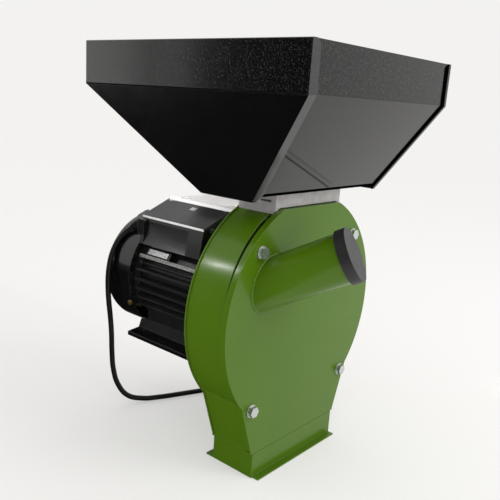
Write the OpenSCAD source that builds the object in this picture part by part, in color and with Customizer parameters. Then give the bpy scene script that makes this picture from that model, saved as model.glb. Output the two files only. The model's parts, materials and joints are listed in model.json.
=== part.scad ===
// Hammer mill: an electric grain and maize-cob mill that hangs in front of a foot-mounted motor.
// The origin is the centre of the motor's foot holes, on the underside of the foot.
// +X is to the right of someone who faces the cover, +Y runs back along the shaft, and +Z is up.

/* [Motor] */
// Height of the shaft above the underside of the foot
shaft_h = 90; // [88:1:92]
// Hole spacing of the foot across the shaft
foot_a = 140; // [138:1:142]
// Hole spacing of the foot along the shaft
foot_b = 125; // [123:1:127]
// Diameter of the foot's fixing holes
foot_hole_d = 10; // [9:0.5:11]
// From the motor's flange face to the first row of foot holes
flange_c = 56; // [55:1:57]
// Outer radius of the cooling fins
fin_r = 80; // [79:0.5:81]
// Outer radius of the fan cowl
cowl_r = 87.5; // [87:0.5:88]

/* [Housing] */
// Radius of the front cover
body_r = 155.5; // [154:0.5:157]
// Depth of the housing, front face to back face
body_d = 69; // [68:0.5:70]
// Height of the flat top above the shaft
flat_h = 143; // [142:0.5:144]
// Thickness of the housing's steel sheet
sheet = 2; // [1.5:0.1:2.2]
// Drop from the underside of the foot to the bottom of the outlet
outlet_drop = 119; // [117:1:121]
// Half width of the outlet
outlet_hw = 89.5; // [88:0.5:91]

/* [Hopper] */
// Half width of the hopper's rim
rim_hw = 156.2; // [154:0.2:158]
// Half width of the hopper's bottom
low_hw = 134; // [132:0.5:136]
// Height of the vertical rim band
rim_h = 53.5; // [50:0.5:56]
// Height of the sloping part
slope_h = 118.5; // [116:0.5:121]
// Thickness of the hopper's sheet
thin = 1.2; // [1:0.1:1.5]

/* [Feed tube] */
// Outer radius of the cob feed tube
tube_r = 31; // [30:0.5:32]
// Length of the tube along its axis
tube_l = 108; // [104:1:112]
// Rise of the tube above horizontal, in degrees
tube_rise = 26.9; // [25:0.5:29]
// Turn of the tube towards +X, in degrees
tube_turn = 23.2; // [21:0.5:25]

/* [Rotor] */
// Radius of the circle that the hammer pins lie on
pin_circle_r = 78; // [76:0.5:80]
// Radius of a hammer pin
pin_r = 5; // [4.5:0.1:5.5]
// Reach of a hammer beyond its pin
hammer_reach = 36; // [34:0.5:37]
// Inner radius of the sieve
sieve_r = 119.5; // [119:0.5:121]

/* [Cord] */
// Diameter of the mains cord
cord_d = 8; // [7.6:0.1:8]

/* [Hidden] */

eps = 0.5;
round_fn = 96;
small_fn = 32;

// Planes across the shaft
y_back = -(foot_b / 2 + flange_c);
y_front = y_back - body_d;
y_plate = y_back - sheet;
y_inner = y_front + sheet;
y_flange = y_front + 9;
y_band = y_flange + 1.5;
z_out = -outlet_drop;
z_flat = shaft_h + flat_h;

// Profile of the housing
leg_top_z = -10;
leg_low_z = -81;
leg_top_hw = 117.5;
leg_low_hw = 93.5;
cover_low_z = -84;

// Cover bolts
bolt_x = 99.7;
bolt_z = [185, -19.5];
m8_r = 4;
m8_hex_r = 7.5;
m8_head = 5.3;
washer_r = 8.6;
washer_t = 1.6;
sleeve_r = 7;

// Circle of the four bolts that hold the motor
flange_bolt_r = 60;

// Neck and slide gate
neck_hw = 70;
neck_y0 = -180;
neck_y1 = y_plate;
floor_z = 254;
gate_z = 217.5;
gate_t = 2;
gate_lip = 2.5;
gate_hw = 68;
rail_y0 = -168;
gate_y0 = -125;
gate_y1 = 10;
throat_hw = 55;
throat_y0 = -168;
throat_y1 = -126;
hopper_bolt_x = 62;
hopper_bolt_y = [-172.5, -128.5];

// Hopper levels
low_z = 250;
rim_z = low_z + slope_h;
top_z = rim_z + rim_h;
low_y0 = -196.6;
low_y1 = -112.5;
rim_y0 = -277;
rim_y1 = 85.2;
flange_w = 14;
end_low_z = 248.5;
hem_h = 10;
long_inset = 1.6;

// Feed tube
tube_x = -79.3;
tube_z = 143.4;
tube_wall = 1.5;
cap_r = 33.6;
cap_gap = 0.3;
cap_from = 98;
cap_to = 111;

// Motor layout along Y
frame_y0 = -78;
frame_y1 = 70;
bore_r = 62;
wall_r = 68;
fin_low = -30.5;
fin_step = 10.6;
fin_top = [38 : 10.8 : 82];
edge_fin = 27;
fin_t = 3;
fin_root_t = 8;
plate_a = 147;
plate_r = 78.6;
cowl_y0 = 72.4;
cowl_y1 = 130;
shaft_r = 12.5;
shaft_gap = 0.05;
bearing_r = 26;
bearing_w = 15;
front_bearing_y = -112;
rear_bearing_y = 72;
core_r = 38;
air_gap = 0.6;
core_hl = 40;

// Rotor in the chamber
disc_r = 93;
disc_t = 4;
hub_r = 24;
front_disc_y = -173;
rear_disc_y = -131;
hammer_y = [-160.5, -150.5, -140.5];
hammer_t = 5;
hammer_w = 26;
hammer_top = 12;
pin_gap = 0.08;

// Terminal box, in a frame turned about the shaft axis
box_tilt = -22.1;
box_x0 = -25;
box_x1 = 33;
box_y0 = -55.6;
box_y1 = 69.3;
box_y2 = 88;
box_low = 74;
box_high = 109.8;
overhang_low = cowl_r + 2;
lid_t = 4;
box_wall = 2.5;
corner_r = 6;
post_r = 5;
// The box's left wall is upright in spite of the tilt, with a recess and a sloping ledge under it
skirt = [[-24, box_high], [-25.4, box_high], [-39.2, 88.2], [-46.2, 77.6],
         [-44.5, 74.5], [-41.5, 74.5], [-24, 76]];
skirt_hollow = [[-25, 97], [-32, 84.5], [-42, 79], [-41.5, 70], [-25, 70]];
recess = [[-25.6, 106.5], [-60, 106.5], [-60, 77.6], [-46.2, 77.6], [-34.6, 87.5]];
recess_y0 = -28;
recess_y1 = 62;
gland_block_x = -1.5;
tower_at = [-62.5, 75, 157];
tower_r = 7;

// Switch and overload button on the box's front end
switch_x = -11;
switch_z = 103;
bush_r = 3.4;
ball_r = 2.4;
lever_out = 3.6;
switch_throw = 24;
reset_x = -17;
reset_z = 94;
button_r = 3.4;

// Gland, which looks down over the side of the fan cowl
gland_at = [-48, 86, 177];
gland_dir = [-0.501, 0.581, -0.641];
gland_r = 8.6;
gland_nut = 5;
gland_l = 26;

// Mains cord: its route from the strain relief down to the coil on the surface below
cord_r = cord_d / 2;
floor_cord_z = z_out + cord_r;
cord_route = [
    gland_at + gland_l * gland_dir, [-67.5, 107.5, 152.5], [-75, 111.5, 143], [-82, 113, 132],
    [-88, 113, 119.5], [-93, 111.5, 105], [-96.5, 109.5, 89], [-98, 107.5, 71], [-97.5, 106, 50],
    [-95, 105, 26], [-93, 104, 0], [-92, 103, -35], [-91, 100, -62], [-86, 94, -87],
    [-74, 85, -106], [-54, 73, floor_cord_z + 1.3], [-28, 60, floor_cord_z], [-2, 49, floor_cord_z],
    [20, 40, floor_cord_z], [43, 31, floor_cord_z], [63, 25.5, floor_cord_z]];
coil_x = 88;
coil_y = -25;
coil_mid_r = 44;
coil_h = 2 * cord_d;
cord_sides = 10;

// Mains plug, which lies beside the coil
plug_x = 136;
plug_y = -48;
plug_r = 18.5;

// The cover's outline, grown by o, as a solid between two Y planes
module profile(o, y0, y1) {
    intersection() {
        translate([0, y1, shaft_h]) rotate([90, 0, 0]) cylinder(r = body_r + o, h = y1 - y0, $fn = 180);
        translate([-200, y0 - eps, leg_top_z - 60])
            cube([400, y1 - y0 + 2 * eps, z_flat + o - leg_top_z + 60]);
    }
    translate([0, y1, 0]) rotate([90, 0, 0]) linear_extrude(y1 - y0)
        polygon([[-leg_top_hw - o, leg_top_z], [-leg_low_hw - o, leg_low_z], [-leg_low_hw - o, cover_low_z],
                 [leg_low_hw + o, cover_low_z], [leg_low_hw + o, leg_low_z], [leg_top_hw + o, leg_top_z]]);
}

// The shell's outline: the same shape, with straight outlet walls of half width w below it
module shell_profile(o, w, y0, y1) {
    profile(o, y0, y1);
    translate([-w, y0, z_out]) cube([2 * w, y1 - y0, leg_low_z - z_out]);
}

module y_cyl(r, y0, y1, fn = small_fn) {
    translate([0, y1, 0]) rotate([90, 0, 0]) cylinder(r = r, h = y1 - y0, $fn = fn);
}

module at_shaft() {
    translate([0, 0, shaft_h]) children();
}

module at_cover_bolts() {
    for (sx = [-1, 1], z = bolt_z) translate([sx * bolt_x, 0, z]) children();
}

module along_tube() {
    translate([tube_x, y_front, tube_z]) rotate([0, 90 - tube_rise, tube_turn - 90]) children();
}

module in_box() {
    at_shaft() rotate([0, box_tilt, 0]) children();
}

// ---- Housing ----

module housing_back_plate() {
    color("olivedrab") difference() {
        union() {
            shell_profile(0, outlet_hw, y_plate, y_back);
            translate([-outlet_hw, y_back - eps, z_out]) cube([2 * outlet_hw, 13 + eps, sheet]);
        }
        at_shaft() y_cyl(50.2, y_plate - eps, y_back + eps, round_fn);
        at_cover_bolts() y_cyl(m8_r + 0.5, y_plate - eps, y_back + eps);
        at_shaft() for (a = [45 : 90 : 315]) rotate([0, a, 0]) translate([flange_bolt_r, 0, 0])
            y_cyl(m8_r + 0.5, y_plate - eps, y_back + eps);
        translate([-gate_hw - 1, y_plate - eps, gate_z - 0.8])
            cube([2 * gate_hw + 2, sheet + 2 * eps, gate_t + gate_lip + 1.6]);
    }
}

// The rolled band that joins the back plate to the cover, open at the inlet and the outlet.
// Its front edge leans back towards the flat top, which opens a wedge behind the cover.
module housing_band() {
    color("olivedrab") difference() {
        shell_profile(-2, outlet_hw, y_band, y_plate);
        profile(-2 - sheet, y_band - eps, y_plate + eps);
        translate([-outlet_hw + sheet, y_band - eps, z_out - eps])
            cube([2 * (outlet_hw - sheet), y_plate - y_band + 2 * eps, leg_low_z - z_out + 2 * eps]);
        translate([-throat_hw, throat_y0, z_flat - 20]) cube([2 * throat_hw, throat_y1 - throat_y0, 30]);
        translate([-200, y_band, 130]) rotate([-4, 0, 0]) translate([0, -20, 0]) cube([400, 20, 140]);
    }
    color("olivedrab") for (sx = [-1, 1])
        translate([sx * (outlet_hw - sheet / 2) - sheet / 2, y_front, z_out])
            cube([sheet, y_band - y_front, cover_low_z - z_out - 0.5]);
}

module outlet_front_strip() {
    color("olivedrab") {
        translate([-outlet_hw + sheet, y_front, z_out]) cube([2 * (outlet_hw - sheet), sheet, 34.5]);
        translate([-outlet_hw + sheet, y_front - 10, z_out]) cube([2 * (outlet_hw - sheet), 10, sheet]);
    }
}

module front_cover() {
    color("olivedrab") difference() {
        profile(0, y_front, y_flange);
        difference() {
            profile(-sheet, y_inner, y_flange + eps);
            translate([-200, y_inner - eps, cover_low_z - eps]) cube([400, 20, 1]);
        }
        translate([-200, y_inner, cover_low_z - eps]) cube([400, 20, 4]);
        at_cover_bolts() y_cyl(m8_r + 0.5, y_front - eps, y_inner + eps);
        along_tube() translate([0, 0, -30]) cylinder(r = tube_r - tube_wall, h = 60, $fn = round_fn);
    }
}

// Rubber strip that closes the joint between cover and band
module cover_seal() {
    color("black") difference() {
        profile(-4.2, y_inner, y_band + 4);
        profile(-6.6, y_inner - eps, y_band + 4 + eps);
        translate([-200, y_inner - eps, cover_low_z - eps]) cube([400, 30, 4]);
        along_tube() translate([0, 0, -30]) cylinder(r = tube_r, h = 60, $fn = round_fn);
    }
}

module feed_tube() {
    color("olivedrab") difference() {
        along_tube() translate([0, 0, -40]) cylinder(r = tube_r, h = tube_l + 40, $fn = round_fn);
        along_tube() translate([0, 0, -45])
            cylinder(r = tube_r - tube_wall, h = tube_l + 50, $fn = round_fn);
        translate([-200, y_front, 0]) cube([400, 100, 300]);
    }
}

module tube_cap() {
    color("dimgray") along_tube() difference() {
        translate([0, 0, cap_from]) cylinder(r = cap_r, h = cap_to - cap_from, $fn = round_fn);
        translate([0, 0, cap_from - eps])
            cylinder(r = tube_r + cap_gap, h = tube_l - cap_from + cap_gap + eps, $fn = round_fn);
    }
}

module cover_bolts() {
    color("silver") at_cover_bolts() {
        translate([0, y_front - washer_t, 0]) rotate([90, 0, 0])
            cylinder(r = m8_hex_r, h = m8_head, $fn = 6);
        y_cyl(m8_r, y_front - washer_t, y_back + 8);
    }
}

module cover_washers() {
    color("silver") at_cover_bolts() difference() {
        y_cyl(washer_r, y_front - washer_t, y_front);
        y_cyl(m8_r + 0.2, y_front - washer_t - eps, y_front + eps);
    }
}

// Distance sleeves between the cover and the back plate
module cover_sleeves() {
    color("silver") at_cover_bolts() difference() {
        y_cyl(sleeve_r, y_inner, y_plate);
        y_cyl(m8_r + 0.3, y_inner - eps, y_plate + eps);
    }
}

module cover_nuts() {
    color("silver") at_cover_bolts() difference() {
        translate([0, y_back + 6.5, 0]) rotate([90, 0, 0]) cylinder(r = m8_hex_r, h = 6.5, $fn = 6);
        y_cyl(m8_r + 0.05, y_back - eps, y_back + 7);
    }
}

// ---- Neck, slide gate and hopper ----

// Folded galvanised collar that carries the hopper; its lower edge follows the curve of the band
module neck_frame() {
    z0 = z_flat - 9;
    wall = 1.5;
    color("gainsboro") difference() {
        translate([-neck_hw, neck_y0, z0]) cube([2 * neck_hw, neck_y1 - neck_y0, floor_z - z0]);
        translate([-neck_hw + wall, neck_y0 + wall, z0 - eps])
            cube([2 * (neck_hw - wall), neck_y1 - neck_y0 - 2 * wall, floor_z - z0 - wall + eps]);
        translate([-throat_hw, throat_y0, z0]) cube([2 * throat_hw, throat_y1 - throat_y0, 40]);
        translate([-neck_hw - eps, -172, 241]) cube([2 * neck_hw + 2 * eps, 17, 2.5]);
        profile(-2, neck_y0 - eps, neck_y1 + eps);
        profile(1, neck_y0 - eps, y_band);
        hopper_bolt_holes(floor_z - 10);
    }
}

module hopper_bolt_holes(z) {
    for (sx = [-1, 1], y = hopper_bolt_y)
        translate([sx * hopper_bolt_x, y, z]) cylinder(r = 3.3, h = 30, $fn = small_fn);
}

// Two channels under the flat top that the gate slides in
module gate_rails() {
    color("gainsboro") intersection() {
        profile(-2 - sheet, y_band, y_plate);
        for (sx = [-1, 1]) translate([sx * (gate_hw + 1.5), 0, 0]) {
            translate([sx > 0 ? 0 : -1.5, rail_y0, gate_z - 1.8]) cube([1.5, y_plate - rail_y0, 20]);
            for (z = [gate_z - 1.8, gate_z + gate_t + gate_lip + 0.6])
                translate([sx > 0 ? -8 : -1.5, rail_y0, z]) cube([9.5, y_plate - rail_y0, 1.5]);
        }
    }
}

// The gate is drawn open; pushed in, it closes the throat
module slide_gate() {
    color("gainsboro") difference() {
        union() {
            translate([-gate_hw, gate_y0, gate_z]) cube([2 * gate_hw, gate_y1 - gate_y0, gate_t]);
            for (x = [-gate_hw, gate_hw - 1.5])
                translate([x, gate_y0, gate_z]) cube([1.5, gate_y1 - gate_y0, gate_t + gate_lip]);
            translate([-gate_hw, gate_y1 - 1.5, gate_z - 2.5]) cube([2 * gate_hw, 1.5, 3.5]);
        }
        for (sx = [-1, 1]) translate([sx * 45 - 11, -85, gate_z - eps]) cube([22, 3, gate_t + 2 * eps]);
        translate([25, -12, gate_z - eps]) cylinder(r = 10, h = gate_t + 2 * eps, $fn = small_fn);
    }
}

// Outward reach of the hopper at height z
function hw_at(z) = low_hw + (rim_hw - low_hw) * (z - low_z) / slope_h;
function y0_at(z) = low_y0 + (rim_y0 - low_y0) * (z - low_z) / slope_h;
function y1_at(z) = low_y1 + (rim_y1 - low_y1) * (z - low_z) / slope_h;
front_lean = atan((low_y0 - rim_y0) / slope_h);
rear_lean = atan((rim_y1 - low_y1) / slope_h);
side_lean = atan((rim_hw - low_hw) / slope_h);
floor_y0 = y0_at(floor_z) + (2 * thin + 0.1) / cos(front_lean) + 0.3;
floor_y1 = y1_at(floor_z) - (2 * thin + 0.1) / cos(rear_lean) - 0.3;

// Bent strip of sheet, seen from the side: the front (side -1) or the rear (side 1) of the hopper.
// Its faces lie a and b inside the hopper's outer faces, and its rim is folded in by hem.
module long_strip(side, a, b, z0, hem) {
    lean = side < 0 ? front_lean : rear_lean;
    y_low = side < 0 ? y0_at(z0) : y1_at(z0);
    y_rim = side < 0 ? rim_y0 : rim_y1;
    fold = [[y_rim - side * (b + hem), top_z], [y_rim - side * (b + hem), top_z - hem_h],
            [y_rim - side * b, top_z - hem_h]];
    translate([-200, 0, 0]) rotate([90, 0, 90]) linear_extrude(400) polygon(concat(
        [[y_low - side * a / cos(lean), z0], [y_rim - side * a, rim_z + a * tan(lean / 2)],
         [y_rim - side * a, top_z]],
        hem > 0 ? fold : [[y_rim - side * b, top_z]],
        [[y_rim - side * b, rim_z + b * tan(lean / 2)], [y_low - side * b / cos(lean), z0]]));
}

// Left end panel: the bent face, and flanges folded onto the front and rear panels
module end_panel() {
    z0 = end_low_z;
    b = thin;
    intersection() {
        translate([0, 300, 0]) rotate([90, 0, 0]) linear_extrude(700)
            polygon([[-hw_at(z0), z0], [-rim_hw, rim_z], [-rim_hw, top_z], [-rim_hw + b, top_z],
                     [-rim_hw + b, rim_z + b * tan(side_lean / 2)], [-hw_at(z0) + b / cos(side_lean), z0]]);
        translate([-200, 0, 0]) rotate([90, 0, 90]) linear_extrude(400)
            polygon([[y0_at(z0), z0], [rim_y0, rim_z], [rim_y0, top_z],
                     [rim_y1, top_z], [rim_y1, rim_z], [y1_at(z0), z0]]);
    }
    for (side = [-1, 1]) intersection() {
        long_strip(side, 0, b, z0, 0);
        translate([0, 300, 0]) rotate([90, 0, 0]) linear_extrude(700)
            polygon([[-hw_at(z0), z0], [-rim_hw, rim_z], [-rim_hw, top_z], [-rim_hw + flange_w - 6, top_z],
                     [-rim_hw + flange_w, top_z - 6], [-rim_hw + flange_w, rim_z],
                     [-hw_at(z0 + 9) + flange_w, z0 + 9], [-hw_at(z0) + flange_w - 8, z0]]);
    }
}

module hopper_left_panel() {
    color([0.12, 0.12, 0.13]) end_panel();
}

module hopper_right_panel() {
    color([0.12, 0.12, 0.13]) mirror([1, 0, 0]) end_panel();
}

// Front or rear panel: it lies inside the end panels' flanges and meets the floor
module long_panel(side) {
    a = thin + 0.1;
    intersection() {
        long_strip(side, a, a + thin, floor_z, thin);
        translate([0, 300, 0]) rotate([90, 0, 0]) linear_extrude(700)
            polygon([[-hw_at(floor_z) + long_inset, floor_z], [-rim_hw + long_inset, rim_z],
                     [-rim_hw + long_inset, top_z], [rim_hw - long_inset, top_z],
                     [rim_hw - long_inset, rim_z], [hw_at(floor_z) - long_inset, floor_z]]);
    }
}

module hopper_front_panel() {
    color([0.14, 0.14, 0.15]) long_panel(-1);
}

module hopper_rear_panel() {
    color([0.14, 0.14, 0.15]) long_panel(1);
}

module hopper_floor() {
    color([0.1, 0.1, 0.1]) difference() {
        translate([-hw_at(floor_z) + long_inset, floor_y0, floor_z])
            cube([2 * (hw_at(floor_z) - long_inset), floor_y1 - floor_y0, thin]);
        translate([-throat_hw, throat_y0, floor_z - eps])
            cube([2 * throat_hw, throat_y1 - throat_y0, thin + 2 * eps]);
        hopper_bolt_holes(floor_z - 10);
    }
}

module hopper_bolts() {
    color("silver") for (sx = [-1, 1], y = hopper_bolt_y) translate([sx * hopper_bolt_x, y, 0]) {
        translate([0, 0, floor_z + thin]) cylinder(r = 5.5, h = 4, $fn = 6);
        translate([0, 0, floor_z - 8]) cylinder(r = 3, h = 8 + thin, $fn = small_fn);
        translate([0, 0, floor_z - 6.6]) cylinder(r = 5.5, h = 5, $fn = 6);
    }
}

// ---- Grinding chamber ----

sieve_a0 = 118;
sieve_a1 = 422;
sieve_rows = [-168, -154, -140];
sieve_hole_r = 3;

// Sector of angle a0 to a1 about the shaft, used to cut rings
module wedge(a0, a1, y0, y1) {
    steps = 12;
    translate([0, y1, 0]) rotate([90, 0, 0]) linear_extrude(y1 - y0)
        polygon(concat([[0, 0]], [for (i = [0 : steps])
            let (a = a0 + (a1 - a0) * i / steps) [220 * cos(a), 220 * sin(a)]]));
}

module arc_ring(r0, r1, a0, a1, y0, y1) {
    at_shaft() intersection() {
        difference() {
            y_cyl(r1, y0, y1, 120);
            y_cyl(r0, y0 - eps, y1 + eps, 120);
        }
        wedge(a0, a1, y0 - eps, y1 + eps);
    }
}

module sieve() {
    color("gray") difference() {
        arc_ring(sieve_r, sieve_r + 1.5, sieve_a0, sieve_a1, y_inner + 1, y_plate - 1);
        at_shaft() for (a = [sieve_a0 + 7 : 14 : sieve_a1 - 7], y = sieve_rows)
            translate([0, y, 0]) rotate([0, -a, 0]) translate([sieve_r - 3, 0, 0]) rotate([0, 90, 0])
                cylinder(r = sieve_hole_r, h = 8, $fn = 16);
    }
}

// Rolled angle rings on the back plate and on the cover that the sieve slips into
module sieve_guides() {
    color("gray") {
        arc_ring(sieve_r + 1.8, sieve_r + 4, sieve_a0, sieve_a1, y_plate - 9, y_plate);
        arc_ring(sieve_r + 1.8, sieve_r + 4, sieve_a0 + 46, sieve_a1, y_inner, y_inner + 8);
    }
}

// ---- Motor, fixed pieces ----

module motor_flange() {
    color([0.1, 0.1, 0.1]) at_shaft() difference() {
        union() {
            y_cyl(82, y_back, y_back + 10, round_fn);
            y_cyl(50, y_plate - 0.5, y_back + eps, round_fn);
            y_cyl(44, y_back + eps, frame_y0, round_fn);
            y_cyl(75, frame_y0 - 12, frame_y0, round_fn);
            y_cyl(61.8, frame_y0 - eps, frame_y0 + 5, round_fn);
            for (a = [22.5 : 45 : 337.5]) rotate([0, a, 0])
                translate([40, y_back + eps, -2.5]) cube([30, frame_y0 - y_back - 6, 5]);
        }
        y_cyl(54, frame_y0 - 8, frame_y0 + 6, round_fn);
        y_cyl(bearing_r, front_bearing_y, front_bearing_y + bearing_w, round_fn);
        y_cyl(20, front_bearing_y + 1, frame_y0, round_fn);
        y_cyl(shaft_r + 1, y_plate - 2, frame_y0, round_fn);
        for (a = [45 : 90 : 315]) rotate([0, a, 0]) translate([flange_bolt_r, 0, 0])
            y_cyl(m8_r + 0.05, y_back - eps, y_back + 20);
        tie_rod_holes();
    }
}

module tie_rod_holes() {
    for (a = tie_angles) rotate([0, -a, 0]) translate([tie_r, 0, 0]) y_cyl(2.7, y_back + 12, frame_y1 + 20);
}
tie_angles = [20, 160, 200, 340];
tie_r = 71;

// Four bolts from inside the chamber hold the motor on the back plate
module flange_bolts() {
    color("silver") at_shaft() for (a = [45 : 90 : 315]) rotate([0, a, 0]) translate([flange_bolt_r, 0, 0]) {
        translate([0, y_plate, 0]) rotate([90, 0, 0]) cylinder(r = m8_hex_r, h = 4.6, $fn = 6);
        y_cyl(m8_r, y_plate, y_back + 9);
    }
}

// Cast housing with lengthwise fins, a pad for the terminal box and lugs over the foot
module motor_frame() {
    color([0.1, 0.1, 0.1]) difference() {
        union() {
            at_shaft() {
                y_cyl(wall_r, frame_y0, frame_y1, round_fn);
                for (k = [0 : 4]) {
                    fin(fin_low + k * fin_step, fin_t);
                    fin(180 - fin_low - k * fin_step, fin_t);
                }
                for (a = fin_top) fin(a, fin_t);
                for (a = [edge_fin, 180 - edge_fin]) fin(a, fin_t + 2);
                rotate([0, -plate_a, 0]) translate([wall_r - 2, 8, -5.5])
                    cube([plate_r - wall_r + 2, 49, 10]);
                for (y = [frame_y0, frame_y1 - 6]) y_cyl(73.8, y, y + 6, round_fn);
            }
            in_box() translate([box_x0 + 2, box_y0 + 3, 60])
                cube([box_x1 - box_x0 - 4, box_y1 - box_y0 - 6, box_low - 60]);
            for (sx = [-1, 1]) translate([sx * 46 - 9, -70, 24]) cube([18, 134, 24]);
        }
        at_shaft() y_cyl(bore_r, frame_y0 - eps, frame_y1 + eps, round_fn);
        at_shaft() tie_rod_holes();
    }
}

// One cast fin at angle a, thicker at its root, with a tip of thickness t
module fin(a, t) {
    rotate([0, -a, 0]) translate([0, frame_y1 - 2, 0]) rotate([90, 0, 0])
        linear_extrude(frame_y1 - frame_y0 - 4)
            polygon([[wall_r - 2, -fin_root_t / 2], [fin_r, -t / 2],
                     [fin_r, t / 2], [wall_r - 2, fin_root_t / 2]]);
}

// Foot: two pads joined under the frame by an arched saddle
module motor_foot() {
    color([0.08, 0.08, 0.08]) difference() {
        translate([0, foot_b / 2 + 15, 0]) rotate([90, 0, 0]) linear_extrude(foot_b + 30)
            polygon([[-83, 0], [-83, 6.5], [-62, 8.5], [-56, 24], [56, 24], [62, 8.5], [83, 6.5], [83, 0],
                     [45, 0], [40, 14], [-40, 14], [-45, 0]]);
        for (sx = [-1, 1], sy = [-1, 1]) translate([sx * foot_a / 2, sy * foot_b / 2, -eps])
            cylinder(r = foot_hole_d / 2, h = 12, $fn = small_fn);
        at_shaft() y_cyl(wall_r + 0.05, -100, 100, round_fn);
        at_shaft() y_cyl(73.9, -100, frame_y0 + 6.1, round_fn);
        at_shaft() y_cyl(73.9, frame_y1 - 6.1, 100, round_fn);
        at_shaft() y_cyl(cowl_r + 1, frame_y1, 100, round_fn);
    }
}

module rear_shield() {
    color([0.1, 0.1, 0.1]) at_shaft() difference() {
        union() {
            y_cyl(75, frame_y1, frame_y1 + 10, round_fn);
            y_cyl(61.8, frame_y1 - 5, frame_y1 + eps, round_fn);
            y_cyl(33, frame_y1, frame_y1 + 19, round_fn);
            for (a = cowl_angles) rotate([0, -a, 0]) translate([70, frame_y1 + 3.4, -8])
                cube([15, 6.6, 16]);
        }
        y_cyl(54, frame_y1 - 6, frame_y1 + 5, round_fn);
        y_cyl(bearing_r, rear_bearing_y, rear_bearing_y + bearing_w, round_fn);
        y_cyl(20, frame_y1 - 1, rear_bearing_y, round_fn);
        y_cyl(shaft_r + 1, frame_y1 - 1, frame_y1 + 30, round_fn);
        tie_rod_holes();
        for (a = cowl_angles) rotate([0, -a, 0]) translate([74, frame_y1 + 6.7, 0]) rotate([0, 90, 0])
            cylinder(r = 2.1, h = 12, $fn = small_fn);
    }
}
cowl_angles = [80, 206, 326];

// Long screws that clamp the two end shields on the frame
module shield_tie_rods() {
    color("silver") at_shaft() for (a = tie_angles) rotate([0, -a, 0]) translate([tie_r, 0, 0]) {
        y_cyl(2.5, frame_y0 - 10, frame_y1 + 10);
        translate([0, frame_y1 + 13.5, 0]) rotate([90, 0, 0]) cylinder(r = 4, h = 3.5, $fn = 6);
    }
}

module fan_cowl() {
    color([0.1, 0.1, 0.1]) at_shaft() difference() {
        union() {
            y_cyl(cowl_r, cowl_y0, cowl_y1 - 8, round_fn);
            translate([0, cowl_y1 - 8, 0]) rotate([-90, 0, 0]) rotate_extrude($fn = round_fn)
                intersection() {
                    union() {
                        translate([cowl_r - 8, 0]) circle(r = 8, $fn = small_fn);
                        square([cowl_r - 8, 8]);
                    }
                    square([cowl_r + 1, 8]);
                }
        }
        y_cyl(cowl_r - 2, cowl_y0 - eps, cowl_y1 - 9, round_fn);
        y_cyl(cowl_r - 9, cowl_y1 - 10, cowl_y1 - 2, round_fn);
        for (x = [-56 : 14 : 56]) {
            half = sqrt(66 * 66 - x * x) - 4;
            translate([x - 3, cowl_y1 - 3, -half]) cube([6, 4, 2 * half]);
        }
        for (a = cowl_angles) rotate([0, -a, 0]) translate([80, frame_y1 + 6.7, 0]) rotate([0, 90, 0])
            cylinder(r = 2.8, h = 12, $fn = small_fn);
    }
    color([0.1, 0.1, 0.1]) at_shaft() for (z = [-24, 24])
        translate([-62, cowl_y1 - 2, z - 2.5]) cube([124, 2, 5]);
}

module cowl_screws() {
    color("gold") at_shaft() for (a = cowl_angles) rotate([0, -a, 0]) translate([0, frame_y1 + 6.7, 0])
        rotate([0, 90, 0]) {
            translate([0, 0, 76]) cylinder(r = 2, h = 12, $fn = small_fn);
            translate([0, 0, cowl_r + 0.3]) cylinder(r = 4.5, h = 3, $fn = 6);
        }
}

module bearing_ring(y) {
    at_shaft() difference() {
        y_cyl(bearing_r, y, y + bearing_w, round_fn);
        y_cyl(shaft_r + shaft_gap, y - eps, y + bearing_w + eps, round_fn);
        for (s = [y - eps, y + bearing_w - 1]) difference() {
            y_cyl(22.5, s, s + 1 + eps, round_fn);
            y_cyl(16, s - eps, s + 2, round_fn);
        }
    }
}

module front_bearing() {
    color("silver") bearing_ring(front_bearing_y);
}

module rear_bearing() {
    color("silver") bearing_ring(rear_bearing_y);
}

module stator_core() {
    color("slategray") at_shaft() difference() {
        y_cyl(bore_r, -core_hl, core_hl, round_fn);
        y_cyl(core_r + air_gap, -core_hl - eps, core_hl + eps, round_fn);
    }
}

// The two ends of the coil winding, shaped as rounded rings
module stator_windings() {
    color("peru") at_shaft() for (s = [-1, 1]) translate([0, s * (core_hl + 10), 0]) rotate([90, 0, 0])
        rotate_extrude($fn = round_fn) translate([50, 0]) intersection() {
            circle(r = 10, $fn = small_fn);
            square([14, 20], center = true);
        }
}

module nameplate() {
    color("gainsboro") at_shaft() rotate([0, -plate_a, 0])
        translate([plate_r, 12, -4.5]) cube([0.8, 41, 8]);
}

// ---- Rotor, turning pieces ----

module shaft() {
    color("silver") at_shaft() {
        y_cyl(12, front_disc_y + 2, y_back - 4, round_fn);
        y_cyl(shaft_r, y_back - 4, 90, round_fn);
        y_cyl(10, 90, 117, round_fn);
    }
}

module shaft_key() {
    color("silver") at_shaft() translate([-4, front_disc_y + 10, 12]) cube([8, 36, 3.2]);
}

module rotor_core() {
    color("slategray") at_shaft() difference() {
        union() {
            y_cyl(core_r, -core_hl, core_hl, round_fn);
            y_cyl(34, -core_hl - 8, core_hl + 8, round_fn);
        }
        y_cyl(shaft_r, -core_hl - 10, core_hl + 10, round_fn);
    }
}

module cooling_fan() {
    color("ivory") at_shaft() difference() {
        union() {
            y_cyl(20, 96, 116, round_fn);
            y_cyl(72, 113, 115, round_fn);
            for (a = [0 : 45 : 315]) rotate([0, a, 0]) translate([15, 97, -1]) cube([57, 17, 2]);
        }
        y_cyl(10, 90, 117, round_fn);
    }
}

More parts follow.
